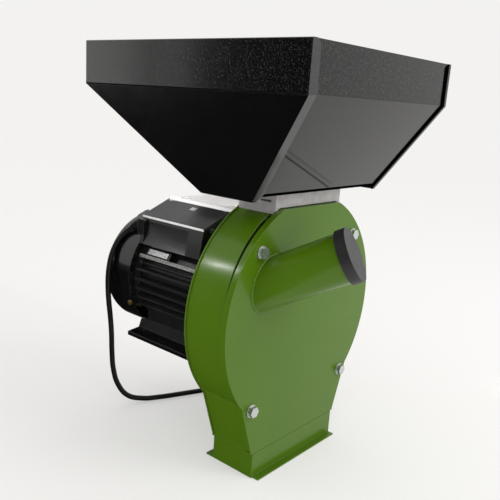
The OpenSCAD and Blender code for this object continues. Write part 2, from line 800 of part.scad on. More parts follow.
module rotor_hub() {
    color("slategray") at_shaft() difference() {
        union() {
            y_cyl(hub_r, front_disc_y + disc_t, rear_disc_y, round_fn);
            y_cyl(18, rear_disc_y, y_back - 5, round_fn);
            y_cyl(18, front_disc_y, front_disc_y + disc_t + eps, round_fn);
        }
        y_cyl(12, front_disc_y - eps, y_back, round_fn);
        translate([-4, front_disc_y - eps, 0]) cube([8, 60, 15.4]);
    }
}

module hammer_disc(y) {
    at_shaft() difference() {
        y_cyl(disc_r, y, y + disc_t, round_fn);
        y_cyl(18, y - eps, y + disc_t + eps, round_fn);
        at_pins() y_cyl(pin_r + 0.05, y - eps, y + disc_t + eps);
    }
}

module at_pins() {
    for (i = [0 : 3]) at_pin(i) children();
}

module at_pin(i) {
    a = 45 + 90 * i;
    translate([pin_circle_r * cos(a), 0, pin_circle_r * sin(a)]) children();
}

module hammer_discs() {
    color("slategray") for (y = [front_disc_y, rear_disc_y]) hammer_disc(y);
}

module hammer_pins() {
    color("silver") at_shaft() at_pins() {
        y_cyl(pin_r, front_disc_y - 1.2, rear_disc_y + disc_t + 1);
        y_cyl(8, front_disc_y - 3.2, front_disc_y - 1.2);
        y_cyl(7.5, rear_disc_y + disc_t + 1, rear_disc_y + disc_t + 2.5);
    }
}

// Tubes that keep the hammers apart on their pins
module hammer_spacers() {
    ends = [front_disc_y + disc_t, hammer_y[0], hammer_y[1], hammer_y[2], rear_disc_y];
    color("gray") at_shaft() at_pins() for (i = [0 : 3]) {
        y0 = ends[i] + (i == 0 ? 0.2 : hammer_t / 2 + 0.3);
        y1 = ends[i + 1] - (i == 3 ? 0.2 : hammer_t / 2 + 0.3);
        difference() {
            y_cyl(8, y0, y1);
            y_cyl(pin_r + 0.05, y0 - eps, y1 + eps);
        }
    }
}

module rotor_bolt() {
    color("silver") at_shaft() {
        y_cyl(14, front_disc_y - 3, front_disc_y);
        translate([0, front_disc_y - 3, 0]) rotate([90, 0, 0]) cylinder(r = m8_hex_r, h = 5, $fn = 6);
    }
}

// Three flat hammers on pin i, hanging straight down as they do when the mill stands still
module hammer_set(i) {
    color("dimgray") at_shaft() at_pin(i) for (y = hammer_y) difference() {
        translate([-hammer_w / 2, y - hammer_t / 2, -hammer_reach])
            cube([hammer_w, hammer_t, hammer_reach + hammer_top]);
        y_cyl(pin_r + pin_gap, y - hammer_t, y + hammer_t);
    }
}

module hammers_1() {
    hammer_set(0);
}

module hammers_2() {
    hammer_set(1);
}

module hammers_3() {
    hammer_set(2);
}

module hammers_4() {
    hammer_set(3);
}

// ---- Terminal box, switch and mains lead ----

// Upright rounded block from x0 to x1 and y0 to y1, in the terminal box's own frame
module round_block(x0, x1, y0, y1, z0, z1, r) {
    translate([x0, y0 + r, z0]) cube([x1 - x0, y1 - y0 - 2 * r, z1 - z0]);
    translate([x0 + r, y0, z0]) cube([x1 - x0 - 2 * r, y1 - y0, z1 - z0]);
    for (x = [x0 + r, x1 - r], y = [y0 + r, y1 - r])
        translate([x, y, z0]) cylinder(r = r, h = z1 - z0, $fn = small_fn);
}

module lid_posts(r, z0, z1) {
    for (y = [box_y0 + post_r, box_y1 - post_r])
        translate([box_x1 - post_r, y, z0]) cylinder(r = r, h = z1 - z0, $fn = small_fn);
}

// Outline in the box's own frame, drawn out from y0 to y1
module along_box(outline, y0, y1) {
    translate([0, y1, 0]) rotate([90, 0, 0]) linear_extrude(y1 - y0) polygon(outline);
}

// Upright round corner behind the lid, in the box's own frame; it stands clear of the fan cowl
module rear_tower() {
    difference() {
        rotate([0, -box_tilt, 0]) translate([0, 0, -shaft_h]) translate(tower_at) {
            cylinder(r = tower_r, h = 30, $fn = small_fn);
            translate([0, -16, 0]) cube([15, 16 + tower_r, 30]);
            translate([-tower_r, -16, 0]) cube([tower_r + 5, 16, 30]);
        }
        translate([-100, 0, box_high - 1]) cube([200, 120, 60]);
        y_cyl(overhang_low, 50, 100, round_fn);
    }
}

// The box sits on the motor, and its rear end overhangs the fan cowl to take the cord
module terminal_box() {
    color([0.1, 0.1, 0.1]) difference() {
        in_box() difference() {
            union() {
                round_block(box_x0, box_x1, box_y0, box_y1, box_low, box_high, corner_r);
                round_block(box_x0, gland_block_x, box_y1 - 20, box_y2,
                            overhang_low, box_high - 2, corner_r);
                along_box(skirt, box_y0, box_y1);
                rear_tower();
            }
            along_box(skirt_hollow, box_y0 + box_wall, box_y1 - box_wall);
            along_box(recess, recess_y0, recess_y1);
            difference() {
                translate([box_x0 + box_wall, box_y0 + box_wall, box_low + box_wall])
                    cube([box_x1 - box_x0 - 2 * box_wall, box_y1 - box_y0 - 2 * box_wall, 60]);
                lid_posts(post_r, box_low, box_high + 1);
            }
            lid_posts(1.6, box_high - 12, box_high + 1);
            translate([switch_x, box_y0, switch_z]) y_cyl(bush_r + 0.1, -1, box_wall + 1);
            translate([reset_x, box_y0, reset_z]) y_cyl(button_r + 0.3, -1, box_wall + 1);
        }
        along_gland() translate([0, 0, -4]) cylinder(r = gland_r + 0.4, h = 40, $fn = small_fn);
        along_gland() translate([0, 0, -20]) cylinder(r = 6, h = 20, $fn = small_fn);
    }
}

module along_gland() {
    translate(gland_at) rotate([0, 0, atan2(gland_dir[1], gland_dir[0])])
        rotate([0, atan2(norm([gland_dir[0], gland_dir[1]]), gland_dir[2]), 0]) children();
}

module terminal_box_lid() {
    color([0.22, 0.22, 0.23]) in_box() difference() {
        translate([box_x0 - 0.8, box_y0 - 0.8, box_high])
            cube([box_x1 - box_x0 + 1.6, box_y1 - box_y0 + 1.6, lid_t]);
        lid_posts(2, box_high - 1, box_high + lid_t + 1);
    }
}

module lid_screws() {
    color("silver") in_box() {
        lid_posts(1.5, box_high - 10, box_high + lid_t);
        lid_posts(3.2, box_high + lid_t, box_high + lid_t + 1.6);
    }
}

module capacitor() {
    color("whitesmoke") in_box() translate([14, 0, box_low + box_wall + 15.2]) y_cyl(15, -35, 45, round_fn);
}

module terminal_block() {
    color("ivory") in_box() translate([-18, -10, box_low + box_wall]) cube([14, 50, 14]);
}

module switch_body() {
    color("silver") in_box() translate([switch_x, box_y0, switch_z]) difference() {
        union() {
            y_cyl(bush_r, -7, box_wall);
            rotate([90, 0, 0]) cylinder(r = 4.8, h = 2, $fn = 6);
            translate([-5, box_wall, -4.5]) cube([10, 16, 10]);
        }
        y_cyl(ball_r + 0.3, -8, 1);
    }
}

module switch_lever() {
    color("gainsboro") in_box() translate([switch_x, box_y0 - lever_out, switch_z])
        rotate([-switch_throw / 2, 0, 0]) {
            sphere(r = ball_r, $fn = small_fn);
            rotate([0, 90, 0]) cylinder(r = 0.8, h = 2 * ball_r + 0.3, center = true, $fn = small_fn);
            rotate([90, 0, 0]) cylinder(r = 1.2, h = 15, $fn = small_fn);
            translate([0, -15, 0]) sphere(r = 1.9, $fn = small_fn);
        }
}

module reset_button() {
    color("gainsboro") in_box() translate([reset_x, box_y0, reset_z]) {
        y_cyl(button_r, -4, 8);
        y_cyl(button_r + 0.9, box_wall + 0.4, box_wall + 1.9);
    }
}

// Gland nut and its tapered, ribbed strain relief
module cable_gland() {
    color([0.1, 0.1, 0.1]) along_gland() difference() {
        union() {
            translate([0, 0, -4]) cylinder(r = gland_r, h = 4 + gland_nut, $fn = small_fn);
            translate([0, 0, -10]) cylinder(r = 5.8, h = 7, $fn = small_fn);
            translate([0, 0, gland_nut]) rotate_extrude($fn = small_fn)
                polygon([[0, 0], [7.2, 0], [5.2, gland_l - gland_nut], [0, gland_l - gland_nut]]);
            for (z = [gland_nut + 4 : 5 : gland_l - 3])
                translate([0, 0, z]) cylinder(r = 7, h = 1.8, $fn = small_fn);
        }
        translate([0, 0, -12]) cylinder(r = cord_r - 1, h = gland_l, $fn = small_fn);
    }
}

function spline_tangent(p, i) =
    let (a = p[max(i - 1, 0)], b = p[min(i + 1, len(p) - 1)], d = b - a) d / norm(d);

// Catmull-Rom points between the route's own points
function route_point(p, i, t) =
    let (p0 = p[max(i - 1, 0)], p1 = p[i], p2 = p[i + 1], p3 = p[min(i + 2, len(p) - 1)])
    0.5 * ((2 * p1) + (p2 - p0) * t + (2 * p0 - 5 * p1 + 4 * p2 - p3) * t * t
           + (3 * p1 - p0 - 3 * p2 + p3) * t * t * t);
function smooth_route(p, k) =
    concat([for (i = [0 : len(p) - 2], j = [0 : k - 1]) route_point(p, i, j / k)], [p[len(p) - 1]]);

function ring_at(c, t) =
    let (side = cross(t, abs(t[2]) > 0.9 ? [0, 1, 0] : [0, 0, 1]), u = side / norm(side), v = cross(u, t))
    [for (k = [0 : cord_sides - 1]) let (a = 360 * k / cord_sides) c + cord_r * (cos(a) * u + sin(a) * v)];

module cord_tube(route) {
    line = smooth_route(route, 3);
    n = len(line);
    points = [for (i = [0 : n - 1]) each ring_at(line[i], spline_tangent(line, i))];
    sides = [for (i = [0 : n - 2], k = [0 : cord_sides - 1])
        let (m = (k + 1) % cord_sides, a = i * cord_sides, b = a + cord_sides) [a + k, b + k, b + m, a + m]];
    first = [for (k = [0 : cord_sides - 1]) k];
    last = [for (k = [cord_sides - 1 : -1 : 0]) (n - 1) * cord_sides + k];
    polyhedron(points, concat([first], sides, [last]));
}

module cord() {
    color([0.06, 0.06, 0.06]) cord_tube(cord_route);
}

// Outer shape of the coil: two layers of two turns
module cord_coil() {
    color([0.06, 0.06, 0.06]) translate([coil_x, coil_y, z_out]) rotate_extrude($fn = round_fn)
        translate([coil_mid_r - cord_d, 0]) square([2 * cord_d, coil_h]);
}

// Round two-pin plug with its tapered sleeve
module plug() {
    color([0.08, 0.08, 0.08]) translate([plug_x, plug_y, z_out + plug_r]) rotate([90, 0, 0]) {
        cylinder(r = cord_r, h = 9, $fn = small_fn);
        translate([0, 0, 8]) rotate_extrude($fn = small_fn)
            polygon([[0, 0], [5.2, 0], [7.5, 24], [0, 24]]);
        translate([0, 0, 32]) rotate_extrude($fn = small_fn)
            polygon([[0, 0], [8, 0], [14, 8], [plug_r, 12], [plug_r, 36], [0, 36]]);
        for (x = [-9.5, 9.5]) translate([x, 0, 67]) cylinder(r = 2.4, h = 20, $fn = small_fn);
    }
}

housing_back_plate();
housing_band();
outlet_front_strip();
front_cover();
cover_seal();
feed_tube();
tube_cap();
cover_bolts();
cover_washers();
cover_sleeves();
cover_nuts();
neck_frame();
gate_rails();
slide_gate();
hopper_left_panel();
hopper_right_panel();
hopper_front_panel();
hopper_rear_panel();
hopper_floor();
hopper_bolts();
sieve();
sieve_guides();
motor_flange();
flange_bolts();
motor_frame();
motor_foot();
rear_shield();
shield_tie_rods();
fan_cowl();
cowl_screws();
front_bearing();
rear_bearing();
stator_core();
stator_windings();
nameplate();
shaft();
shaft_key();
rotor_core();
cooling_fan();
rotor_hub();
hammer_discs();
hammer_pins();
hammer_spacers();
rotor_bolt();
hammers_1();
hammers_2();
hammers_3();
hammers_4();
terminal_box();
terminal_box_lid();
lid_screws();
capacitor();
terminal_block();
switch_body();
switch_lever();
reset_button();
cable_gland();
cord();
cord_coil();
plug();
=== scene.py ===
import json
import math

import bmesh
import bpy
from mathutils import Matrix, Vector


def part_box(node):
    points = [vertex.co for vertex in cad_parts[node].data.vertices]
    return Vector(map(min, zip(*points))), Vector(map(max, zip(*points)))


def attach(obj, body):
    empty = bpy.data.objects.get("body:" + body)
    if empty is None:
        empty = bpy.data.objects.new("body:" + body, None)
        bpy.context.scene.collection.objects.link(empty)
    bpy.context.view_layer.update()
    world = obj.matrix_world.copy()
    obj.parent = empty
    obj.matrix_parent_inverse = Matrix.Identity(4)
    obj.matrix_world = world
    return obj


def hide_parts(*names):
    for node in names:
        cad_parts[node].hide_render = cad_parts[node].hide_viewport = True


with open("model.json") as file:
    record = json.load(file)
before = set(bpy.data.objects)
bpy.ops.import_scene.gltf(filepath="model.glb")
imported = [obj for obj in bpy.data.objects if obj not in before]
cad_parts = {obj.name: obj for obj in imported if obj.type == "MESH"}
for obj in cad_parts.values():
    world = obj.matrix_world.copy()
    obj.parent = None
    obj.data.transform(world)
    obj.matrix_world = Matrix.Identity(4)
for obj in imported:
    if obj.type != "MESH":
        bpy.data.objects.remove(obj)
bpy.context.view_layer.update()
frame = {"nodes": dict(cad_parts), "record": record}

# All lengths are in metres. +X is right, +Y is back along the shaft, +Z is up.
SHAFT_Z = 0.090
FLOOR_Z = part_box("outlet_front_strip")[0].z
FRONT_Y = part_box("front_cover")[0].y

# The uppermost fin on the left: the radius of its tip, its front end and its place around the shaft
FIN_R = 0.080
FIN_FRONT_Y = 0.069
FIN_ANGLE = math.radians(153)

# The terminal box is turned about the shaft
BOX_TILT = math.radians(-22.1)
LID_LEFT = -0.0252

# The hopper's outer faces, where the slopes meet the rim band and at their low end
RIM_X, RIM_Z = 0.1562, 0.3685
LOW_X, LOW_Z = 0.1340, 0.250
RIM_Y = (-0.2770, 0.0852)
LOW_Y = (-0.1966, -0.1125)

# The cob tube leaves the cover here, rising and turned to the right
TUBE_AT = Vector((-0.0793, FRONT_Y, 0.1434))
TUBE_RISE = math.radians(26.9)
TUBE_TURN = math.radians(23.2)
TUBE_R = 0.0310

# ---------------------------------------------------------------- camera

CAM_PLACE = Vector((-0.6741, -0.6500, 0.3583))
CAM_YAW = math.radians(50.04)
CAM_PITCH = math.radians(-13.05)
CAM_ROLL = math.radians(3.81)


def make_camera():
    data = bpy.data.cameras.new("camera")
    data.sensor_width = 36
    data.lens = 46.09
    data.clip_start = 0.05
    data.clip_end = 30
    cam = bpy.data.objects.new("camera", data)
    bpy.context.scene.collection.objects.link(cam)
    forward = Vector((math.sin(CAM_YAW) * math.cos(CAM_PITCH), math.cos(CAM_YAW) * math.cos(CAM_PITCH),
                      math.sin(CAM_PITCH)))
    level = Vector((math.cos(CAM_YAW), -math.sin(CAM_YAW), 0))
    lift = level.cross(forward)
    right = math.cos(CAM_ROLL) * level + math.sin(CAM_ROLL) * lift
    up = -math.sin(CAM_ROLL) * level + math.cos(CAM_ROLL) * lift
    turn = Matrix((right, up, -forward)).transposed().to_4x4()
    cam.matrix_world = Matrix.Translation(CAM_PLACE) @ turn
    bpy.context.scene.camera = cam


make_camera()

# ---------------------------------------------------------------- shader helpers


class Shader:
    """A node material that starts from a Principled shader and object coordinates."""

    def __init__(self, name, color, rough, metal=0.0, coat=0.0, spec=0.5, coat_rough=0.05):
        self.mat = bpy.data.materials.new(name)
        self.mat.use_nodes = True
        self.tree = self.mat.node_tree
        self.bsdf = self.tree.nodes["Principled BSDF"]
        self.place = self.tree.nodes.new("ShaderNodeTexCoord").outputs["Object"]
        self.color = self.value_color(color)
        self.rough = None
        self.height = None
        self.bsdf.inputs["Base Color"].default_value = (*color, 1)
        self.bsdf.inputs["Roughness"].default_value = rough
        self.bsdf.inputs["Metallic"].default_value = metal
        self.bsdf.inputs["Coat Weight"].default_value = coat
        self.bsdf.inputs["Coat Roughness"].default_value = coat_rough
        self.bsdf.inputs["Specular IOR Level"].default_value = spec

    def value_color(self, color):
        node = self.tree.nodes.new("ShaderNodeRGB")
        node.outputs[0].default_value = (*color, 1)
        return node.outputs[0]

    def link(self, a, b):
        self.tree.links.new(a, b)

    def noise(self, scale, detail=3.0, stretch=(1, 1, 1), distort=0.0):
        place = self.place
        if stretch != (1, 1, 1):
            mapping = self.tree.nodes.new("ShaderNodeMapping")
            mapping.inputs["Scale"].default_value = stretch
            self.link(place, mapping.inputs["Vector"])
            place = mapping.outputs["Vector"]
        node = self.tree.nodes.new("ShaderNodeTexNoise")
        node.inputs["Scale"].default_value = scale
        node.inputs["Detail"].default_value = detail
        node.inputs["Distortion"].default_value = distort
        self.link(place, node.inputs["Vector"])
        return node.outputs["Fac"]

    def cells(self, scale, feature="F1", output="Color"):
        node = self.tree.nodes.new("ShaderNodeTexVoronoi")
        node.feature = feature
        node.inputs["Scale"].default_value = scale
        self.link(self.place, node.inputs["Vector"])
        return node.outputs[output]

    def edges(self, width=0.0010):
        """1 on worn edges, 0 further than width away from them."""
        bevel = self.tree.nodes.new("ShaderNodeBevel")
        bevel.samples = 4
        bevel.inputs["Radius"].default_value = width
        flat = self.tree.nodes.new("ShaderNodeNewGeometry").outputs["True Normal"]
        node = self.tree.nodes.new("ShaderNodeVectorMath")
        node.operation = "DOT_PRODUCT"
        self.link(bevel.outputs["Normal"], node.inputs[0])
        self.link(flat, node.inputs[1])
        return self.ramp(node.outputs["Value"], 0.99, 0.90)

    def along(self, direction, offset=0.0):
        """Distance in metres along direction, from the point offset along it."""
        node = self.tree.nodes.new("ShaderNodeVectorMath")
        node.operation = "DOT_PRODUCT"
        self.link(self.place, node.inputs[0])
        node.inputs[1].default_value = direction
        return self.math("SUBTRACT", node.outputs["Value"], offset)

    def math(self, operation, a, b):
        node = self.tree.nodes.new("ShaderNodeMath")
        node.operation = operation
        self.link(a, node.inputs[0])
        if isinstance(b, (int, float)):
            node.inputs[1].default_value = b
        else:
            self.link(b, node.inputs[1])
        return node.outputs[0]

    def absolute(self, a):
        return self.math("ABSOLUTE", a, 0.0)

    def ramp(self, value, low, high, out_low=0.0, out_high=1.0):
        node = self.tree.nodes.new("ShaderNodeMapRange")
        node.clamp = True
        node.inputs["From Min"].default_value = low
        node.inputs["From Max"].default_value = high
        node.inputs["To Min"].default_value = out_low
        node.inputs["To Max"].default_value = out_high
        self.link(value, node.inputs["Value"])
        return node.outputs["Result"]

    def mix_color(self, mask, color, amount=1.0):
        """Lays color over what is there, where mask is 1."""
        node = self.tree.nodes.new("ShaderNodeMix")
        node.data_type = "RGBA"
        self.link(self.color, node.inputs["A"])
        node.inputs["B"].default_value = (*color, 1)
        self.link(self.ramp(mask, 0, 1, 0, amount), node.inputs["Factor"])
        self.color = node.outputs["Result"]

    def set_rough(self, value, low, high):
        self.rough = self.ramp(value, 0, 1, low, high)

    def bump(self, value, depth, strength=1.0):
        node = self.tree.nodes.new("ShaderNodeBump")
        node.inputs["Distance"].default_value = depth
        node.inputs["Strength"].default_value = strength
        self.link(value, node.inputs["Height"])
        if self.height is not None:
            self.link(self.height, node.inputs["Normal"])
        self.height = node.outputs["Normal"]

    def done(self):
        self.link(self.color, self.bsdf.inputs["Base Color"])
        if self.rough is not None:
            self.link(self.rough, self.bsdf.inputs["Roughness"])
        if self.height is not None:
            self.link(self.height, self.bsdf.inputs["Normal"])
            self.link(self.height, self.bsdf.inputs["Coat Normal"])
        return self.mat


def scaled(color, k):
    """The colour, k times as bright."""
    return tuple(min(1.0, c * k) for c in color)


# ---------------------------------------------------------------- materials


def green_enamel():
    base = (0.070, 0.152, 0.004)
    s = Shader("green_enamel", base, 0.22, coat=0.045, coat_rough=0.08, spec=0.28)
    s.mix_color(s.ramp(s.noise(6, 4), 0.35, 0.7), scaled(base, 1.15), 0.6)
    s.mix_color(s.ramp(s.noise(700, 2), 0.60, 0.75), scaled(base, 0.8), 0.25)
    s.mix_color(s.edges(), (0.13, 0.24, 0.05), 0.6)
    s.set_rough(s.noise(35, 3), 0.16, 0.28)
    s.bump(s.noise(300, 2), 0.00008, 0.4)
    return s.done()


def black_enamel(name="black_enamel", shade_mask_of=None, spec=0.40, glint_level=0.026):
    """The hopper's paint, with pale flecks on the rim band: painted glints standing for the orange peel
    catching the light.
    The second argument, if given, makes the mask of the places painted black as shade, without gloss."""
    base = (0.0022, 0.0022, 0.0024)
    s = Shader(name, base, 0.20, coat=0.08, coat_rough=0.06, spec=spec)
    s.mix_color(s.ramp(s.noise(9, 4), 0.4, 0.7), (0.0038, 0.0037, 0.0038), 0.8)
    # painted glints: pale flecks, mostly on the rim band
    flecks = s.ramp(s.noise(460, 2), 0.52, 0.74)
    on_band = s.ramp(s.along((0, 0, 1)), RIM_Z - 0.0025, RIM_Z + 0.0035, 0.10, 1.0)
    s.mix_color(s.math("MULTIPLY", flecks, on_band), (glint_level, glint_level * 0.98, glint_level * 0.98), 0.9)
    s.mix_color(s.edges(), (0.055, 0.055, 0.055), 0.6)
    s.set_rough(s.noise(60, 3), 0.14, 0.26)
    s.bump(s.noise(620, 2), 0.00005, 0.5)
    # painted shade: black and without gloss where the mask is 1
    if shade_mask_of:
        mask = shade_mask_of(s)
        s.mix_color(mask, (0.0012, 0.0012, 0.0013), 1.0)
        s.link(s.ramp(mask, 0, 1, spec, 0.0), s.bsdf.inputs["Specular IOR Level"])
        s.link(s.ramp(mask, 0, 1, 0.08, 0.0), s.bsdf.inputs["Coat Weight"])
    return s.done()


def flange_shade_mask(s):
    """The mask of painted shade: the flanges of the right panel, but for a strip along their outer edge, go
    black and without gloss.
    """
    edge_strip = 0.0052
    blend = 0.0006
    lean = math.atan2(RIM_X - LOW_X, RIM_Z - LOW_Z)
    slope = (math.cos(lean), 0, -math.sin(lean))
    band = s.along((1, 0, 0), RIM_X)
    below = s.along(slope, RIM_X * slope[0] + RIM_Z * slope[2])
    return s.ramp(s.math("MAXIMUM", band, below), -edge_strip, -edge_strip - blend)


def hem_shade_mask(s):
    """The mask of painted shade: the hem along the low edge of the front panel, below its fold, and a double
    line low on its left, go dark and without gloss.
    """
    hem_top = 0.2578
    line_normal = (0.3177, 0, 0.9482)
    line_from_origin = 0.2479
    line_gap = 0.0052
    line_end_x = 0.008
    hem = s.ramp(s.along((0, 0, 1)), hem_top + 0.0006, hem_top)
    across = s.along(line_normal, line_from_origin)
    line = s.ramp(s.absolute(across), 0.0016, 0.0006, 0.0, 0.8)
    fainter = s.ramp(s.absolute(s.math("SUBTRACT", across, line_gap)), 0.0022, 0.0006, 0.0, 0.35)
    on_left = s.ramp(s.along((1, 0, 0)), line_end_x + 0.006, line_end_x)
    lines = s.math("MULTIPLY", s.math("MAXIMUM", line, fainter), on_left)
    return s.math("MAXIMUM", hem, lines)


def motor_black(name="motor_black", base=(0.0125, 0.0125, 0.0130)):
    """Paint on rough castings. The flat tip of the uppermost fin on the left is painted pale and speckled: a
    painted highlight where that fin catches the light.
    """
    s = Shader(name, base, 0.34, coat=0.10, coat_rough=0.15, spec=0.32)
    s.mix_color(s.ramp(s.noise(30, 5), 0.45, 0.75), scaled(base, 1.6), 0.6)
    s.mix_color(s.ramp(s.noise(520, 3), 0.58, 0.72), (0.035, 0.035, 0.035), 0.5)
    s.mix_color(s.edges(), (0.075, 0.075, 0.075), 0.7)
    tip_depth = 0.0025
    out = (math.cos(FIN_ANGLE), 0, math.sin(FIN_ANGLE))
    over = (-math.sin(FIN_ANGLE), 0, math.cos(FIN_ANGLE))
    tip = s.ramp(s.along(out, SHAFT_Z * out[2] + FIN_R - tip_depth), 0, 0.001)
    beside = s.absolute(s.along(over, SHAFT_Z * over[2]))
    highlight_mask = s.math("MULTIPLY", tip, s.ramp(beside, 0.0034, 0.0028))
    highlight_mask = s.math("MULTIPLY", highlight_mask, s.ramp(s.along((0, 1, 0), FIN_FRONT_Y), 0.0005, 0))
    speckled_highlight = s.math("MULTIPLY", highlight_mask, s.ramp(s.noise(420, 4), 0.38, 0.56, 0.25, 1.0))
    # painted highlight on the fin's tip
    s.mix_color(speckled_highlight, (0.34, 0.33, 0.32), 0.9)
    s.set_rough(s.noise(90, 4), 0.24, 0.46)
    s.bump(s.noise(420, 3), 0.0007, 0.7)
    return s.done()


def cowl_gloss():
    base = (0.0035, 0.0035, 0.0037)
    s = Shader("cowl_gloss", base, 0.16, coat=0.3, coat_rough=0.05, spec=0.45)
    s.mix_color(s.ramp(s.noise(40, 5), 0.45, 0.75), (0.006, 0.006, 0.0063), 0.6)
    s.mix_color(s.edges(), (0.06, 0.06, 0.06), 0.6)
    s.set_rough(s.noise(70, 4), 0.12, 0.24)
    s.bump(s.noise(260, 2), 0.00006, 0.6)
    return s.done()


def galvanised_sheet():
    base = (0.40, 0.385, 0.385)
    s = Shader("galvanised_sheet", base, 0.42, metal=0.15)
    s.mix_color(s.ramp(s.cells(95, output="Distance"), 0.2, 0.7), (0.52, 0.50, 0.50), 0.6)
    s.mix_color(s.ramp(s.noise(22, 4), 0.5, 0.75), (0.34, 0.33, 0.33), 0.4)
    # painted light: behind the neck, where the gate plate sticks out, the zinc is painted pale, as light
    # falling on the plate
    s.mix_color(s.ramp(s.along((0, 1, 0), -0.120), 0, 0.006), (0.93, 0.90, 0.90), 0.85)
    s.set_rough(s.noise(120, 3), 0.32, 0.52)
    s.bump(s.noise(180, 3, stretch=(1, 9, 1)), 0.00006, 0.4)
    return s.done()


def zinc_steel():
    base = (0.62, 0.64, 0.64)
    s = Shader("zinc_steel", base, 0.3, metal=0.9)
    s.mix_color(s.ramp(s.noise(160, 3), 0.45, 0.7), (0.40, 0.43, 0.44), 0.6)
    s.set_rough(s.noise(300, 3), 0.22, 0.42)
    s.bump(s.noise(900, 2), 0.00005, 0.5)
    return s.done()


def plain_steel():
    base = (0.30, 0.30, 0.305)
    s = Shader("plain_steel", base, 0.4, metal=0.9)
    s.mix_color(s.ramp(s.noise(45, 5), 0.45, 0.7), (0.17, 0.15, 0.14), 0.6)
    s.set_rough(s.noise(160, 4), 0.34, 0.58)
    s.bump(s.noise(400, 4), 0.0001, 0.5)
    return s.done()


def bright_steel():
    base = (0.62, 0.62, 0.63)
    s = Shader("bright_steel", base, 0.22, metal=1.0)
    s.mix_color(s.ramp(s.noise(70, 4), 0.5, 0.75), (0.45, 0.45, 0.46), 0.5)
    s.set_rough(s.noise(500, 3, stretch=(1, 12, 1)), 0.16, 0.32)
    return s.done()


def brass_plate():
    base = (0.62, 0.46, 0.14)
    s = Shader("brass_plate", base, 0.3, metal=0.9)
    s.mix_color(s.ramp(s.noise(200, 3), 0.45, 0.7), (0.40, 0.30, 0.10), 0.6)
    s.set_rough(s.noise(400, 3), 0.24, 0.44)
    return s.done()


def lamination_steel():
    base = (0.20, 0.20, 0.21)
    s = Shader("lamination_steel", base, 0.5, metal=0.8)
    s.mix_color(s.ramp(s.noise(40, 2, stretch=(1, 60, 1)), 0.4, 0.6), (0.11, 0.11, 0.12), 0.7)
    s.bump(s.noise(40, 2, stretch=(1, 60, 1)), 0.0002, 0.6)
    return s.done()


def copper_winding():
    base = (0.42, 0.15, 0.05)
    s = Shader("copper_winding", base, 0.3, coat=0.5)
    s.mix_color(s.ramp(s.noise(90, 3, distort=2.0), 0.4, 0.65), (0.22, 0.07, 0.03), 0.7)
    s.bump(s.noise(160, 3, distort=2.0), 0.0006, 0.8)
    return s.done()


def silver_plate():
    base = (0.55, 0.55, 0.56)
    s = Shader("silver_plate", base, 0.35, metal=0.5)
    s.mix_color(s.ramp(s.noise(260, 4), 0.45, 0.62), (0.24, 0.24, 0.25), 0.7)
    s.set_rough(s.noise(200, 3, stretch=(1, 14, 1)), 0.28, 0.48)
    return s.done()


def fan_plastic():
    base = (0.52, 0.50, 0.45)
    s = Shader("fan_plastic", base, 0.5)
    s.mix_color(s.ramp(s.noise(25, 4), 0.45, 0.7), (0.38, 0.36, 0.32), 0.6)
    s.bump(s.noise(500, 3), 0.0001, 0.4)
    return s.done()


def box_plastic():
    base = (0.006, 0.006, 0.0065)
    s = Shader("box_plastic", base, 0.34, coat=0.2, coat_rough=0.2)
    s.mix_color(s.ramp(s.noise(22, 4), 0.45, 0.75), (0.011, 0.011, 0.0115), 0.7)
    s.mix_color(s.edges(), (0.08, 0.08, 0.08), 0.5)
    s.set_rough(s.noise(120, 3), 0.30, 0.46)
    s.bump(s.noise(900, 2), 0.0001, 0.5)
    return s.done()


def lid_grey():
    base = (0.041, 0.0405, 0.0422)
    s = Shader("lid_grey", base, 0.46, spec=0.4)
    s.mix_color(s.ramp(s.noise(12, 4), 0.4, 0.7), (0.052, 0.0512, 0.0537), 0.7)
    s.mix_color(s.edges(), (0.62, 0.62, 0.62), 0.6)
    # painted highlight: the long left side of the lid is painted near white, where it catches the light
    across = (math.cos(BOX_TILT), 0, -math.sin(BOX_TILT))
    side = s.ramp(s.along(across, SHAFT_Z * across[2] + LID_LEFT), 0, -0.0003)
    highlight_mask = s.math("MULTIPLY", side, s.ramp(s.noise(300, 3), 0.3, 0.5, 0.7, 1.0))
    s.mix_color(highlight_mask, (0.80, 0.79, 0.79), 1.0)
    s.set_rough(s.noise(90, 3), 0.36, 0.52)
    s.bump(s.noise(800, 3), 0.00012, 0.5)
    return s.done()


def cap_plastic():
    base = (0.018, 0.016, 0.0175)
    s = Shader("cap_plastic", base, 0.46)
    s.mix_color(s.ramp(s.noise(26, 5), 0.4, 0.7), (0.030, 0.027, 0.029), 0.7)
    s.mix_color(s.ramp(s.noise(500, 2), 0.6, 0.75), (0.016, 0.015, 0.016), 0.5)
    s.set_rough(s.noise(80, 3), 0.42, 0.58)
    s.bump(s.noise(650, 3), 0.00018, 0.5)
    return s.done()


def seal_rubber():
    base = (0.004, 0.004, 0.004)
    s = Shader("seal_rubber", base, 0.75, spec=0.3)
    s.mix_color(s.ramp(s.noise(90, 3), 0.5, 0.75), (0.010, 0.010, 0.010), 0.6)
    s.bump(s.noise(500, 3), 0.0002, 0.5)
    return s.done()


def cord_rubber():
    base = (0.007, 0.007, 0.0075)
    s = Shader("cord_rubber", base, 0.42, coat=0.1, coat_rough=0.3)
    s.mix_color(s.ramp(s.noise(60, 3), 0.45, 0.75), (0.014, 0.014, 0.0145), 0.6)
    s.set_rough(s.noise(200, 3), 0.36, 0.52)
    s.bump(s.noise(900, 2), 0.00008, 0.5)
    return s.done()


def capacitor_shell():
    base = (0.62, 0.62, 0.60)
    s = Shader("capacitor_shell", base, 0.45)
    s.mix_color(s.ramp(s.noise(30, 3), 0.45, 0.7), (0.50, 0.50, 0.48), 0.5)
    s.bump(s.noise(400, 2), 0.0001, 0.4)
    return s.done()


